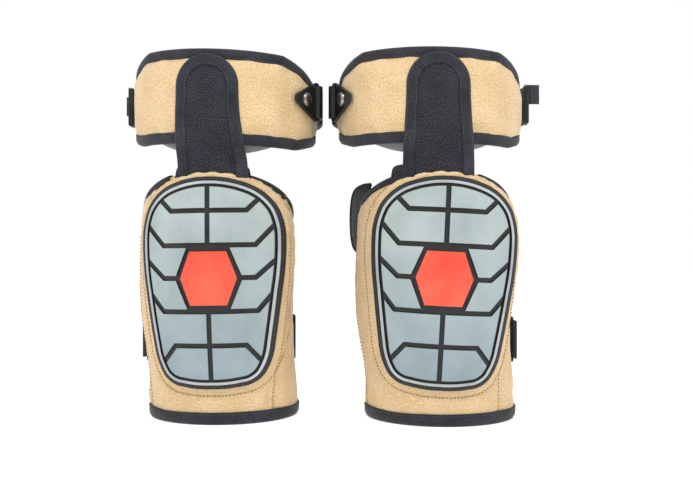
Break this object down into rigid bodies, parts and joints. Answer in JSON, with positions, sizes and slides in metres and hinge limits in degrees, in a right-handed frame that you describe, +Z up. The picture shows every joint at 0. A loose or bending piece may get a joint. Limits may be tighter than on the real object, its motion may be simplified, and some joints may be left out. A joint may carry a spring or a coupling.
{
  "type": "pair of knee pads",
  "caption": "Pair of strap-on work knee pads: ribbed moulded caps on padded leg wraps, with thigh cuffs on straps and swivel buckles.",
  "frame": {"origin": "on the floor at the middle of the pair's footprint, under the whole pair", "axes": "+Z up along the legs, both caps face -Y, +X from the left pad to the right pad as seen from the front"},
  "size_m": [0.4718, 0.2222, 0.397],
  "materials": {
    "tan_cloth": "woven nylon",
    "foam": "closed-cell foam",
    "black_lining": "brushed knit over neoprene",
    "grey_lining": "smooth knit over foam",
    "black_tape": "grosgrain binding tape",
    "spacer_mesh": "spacer mesh",
    "cap_black": "moulded satin",
    "cap_light_line": "moulded satin",
    "cap_grey": "moulded satin",
    "badge_red": "moulded satin",
    "elastic": "ribbed elastic webbing",
    "hook_tape": "hook tape",
    "webbing": "woven webbing",
    "loop_fabric": "brushed loop",
    "rivet_metal": "nickel plated",
    "black_plastic": "moulded"
  },
  "bodies": {
    "left_pad": {"left_front_cover": "tan_cloth", "left_gusset_left": "tan_cloth", "left_gusset_right": "tan_cloth", "left_foam_core": "foam", "left_lining": "black_lining", "left_knee_cushion": "foam", "left_hem_binding": "black_tape", "left_top_binding": "black_tape", "left_wing_left": "spacer_mesh", "left_wing_right": "spacer_mesh", "left_cap_base": "cap_black", "left_cap_ring": "cap_light_line", "left_cap_panels": "cap_grey", "left_cap_badge": "badge_red", "left_strap_root": "loop_fabric", "left_back_leaf": "black_lining"},
    "left_cuff": {"left_cuff_face": "tan_cloth", "left_cuff_foam": "foam", "left_cuff_lining": "black_lining", "left_cuff_binding": "black_tape", "left_cuff_cushion": "grey_lining", "left_knee_strap": "loop_fabric", "left_knee_strap_binding": "black_tape", "left_rivet": "rivet_metal"},
    "left_buckle": {"left_buckle_plate": "black_plastic"},
    "left_clip": {"left_strap_clip": "black_plastic"},
    "left_thigh_strap": {"left_thigh_strap": "elastic", "left_thigh_strap_tab": "webbing"},
    "left_calf_strap": {"left_calf_strap": "elastic", "left_calf_strap_tab": "hook_tape"},
    "right_pad": {"right_front_cover": "tan_cloth", "right_gusset_left": "tan_cloth", "right_gusset_right": "tan_cloth", "right_foam_core": "foam", "right_lining": "black_lining", "right_knee_cushion": "foam", "right_hem_binding": "black_tape", "right_top_binding": "black_tape", "right_wing_left": "spacer_mesh", "right_wing_right": "spacer_mesh", "right_cap_base": "cap_black", "right_cap_ring": "cap_light_line", "right_cap_panels": "cap_grey", "right_cap_badge": "badge_red", "right_strap_root": "loop_fabric", "right_back_leaf": "black_lining"},
    "right_cuff": {"right_cuff_face": "tan_cloth", "right_cuff_foam": "foam", "right_cuff_lining": "black_lining", "right_cuff_binding": "black_tape", "right_cuff_cushion": "grey_lining", "right_knee_strap": "loop_fabric", "right_knee_strap_binding": "black_tape", "right_rivet": "rivet_metal"},
    "right_buckle": {"right_buckle_plate": "black_plastic"},
    "right_clip": {"right_strap_clip": "black_plastic"},
    "right_thigh_strap": {"right_thigh_strap": "elastic", "right_thigh_strap_tab": "webbing"},
    "right_calf_strap": {"right_calf_strap": "elastic", "right_calf_strap_tab": "hook_tape"}
  },
  "joints": [
    {"name": "left_cuff_tilt", "type": "hinge", "parent": "left_pad", "child": "left_cuff", "pos_m": [-0.12097, -0.09595, 0.28], "axis": [1, 0, 0], "range_deg": [-10, 70]},
    {"name": "left_buckle_swivel", "type": "hinge", "parent": "left_cuff", "child": "left_buckle", "pos_m": [-0.02755, -0.04902, 0.351], "axis": [0.8829, -0.4695, 0], "range_deg": [-10, 10]},
    {"name": "left_clip_turn", "type": "hinge", "parent": "left_buckle", "child": "left_clip", "pos_m": [-0.01408, -0.0273, 0.351], "axis": [0, 0, -1], "range_deg": [0, 20]},
    {"name": "left_thigh_strap_open", "type": "hinge", "parent": "left_cuff", "child": "left_thigh_strap", "pos_m": [-0.22955, -0.00885, 0.351], "axis": [0, 0, 1], "range_deg": [0, 75]},
    {"name": "left_calf_strap_open", "type": "hinge", "parent": "left_pad", "child": "left_calf_strap", "pos_m": [-0.04108, 0.03037, 0.084], "axis": [0, 0, -1], "range_deg": [0, 75]},
    {"name": "right_cuff_tilt", "type": "hinge", "parent": "right_pad", "child": "right_cuff", "pos_m": [0.11803, -0.09595, 0.28], "axis": [1, 0, 0], "range_deg": [-10, 70]},
    {"name": "right_buckle_swivel", "type": "hinge", "parent": "right_cuff", "child": "right_buckle", "pos_m": [0.01762, -0.04902, 0.351], "axis": [-0.8829, -0.4695, 0], "range_deg": [-10, 10]},
    {"name": "right_clip_turn", "type": "hinge", "parent": "right_buckle", "child": "right_clip", "pos_m": [0.00414, -0.0273, 0.351], "axis": [0, 0, 1], "range_deg": [0, 20]},
    {"name": "right_thigh_strap_open", "type": "hinge", "parent": "right_cuff", "child": "right_thigh_strap", "pos_m": [0.21962, -0.00885, 0.351], "axis": [0, 0, -1], "range_deg": [0, 75]},
    {"name": "right_calf_strap_open", "type": "hinge", "parent": "right_pad", "child": "right_calf_strap", "pos_m": [0.04214, 0.03037, 0.084], "axis": [0, 0, 1], "range_deg": [0, 75]},
    {"name": "pads_apart", "type": "slide", "parent": "left_pad", "child": "right_pad", "axis": [1, 0, 0], "range_m": [0, 0.3]}
  ]
}
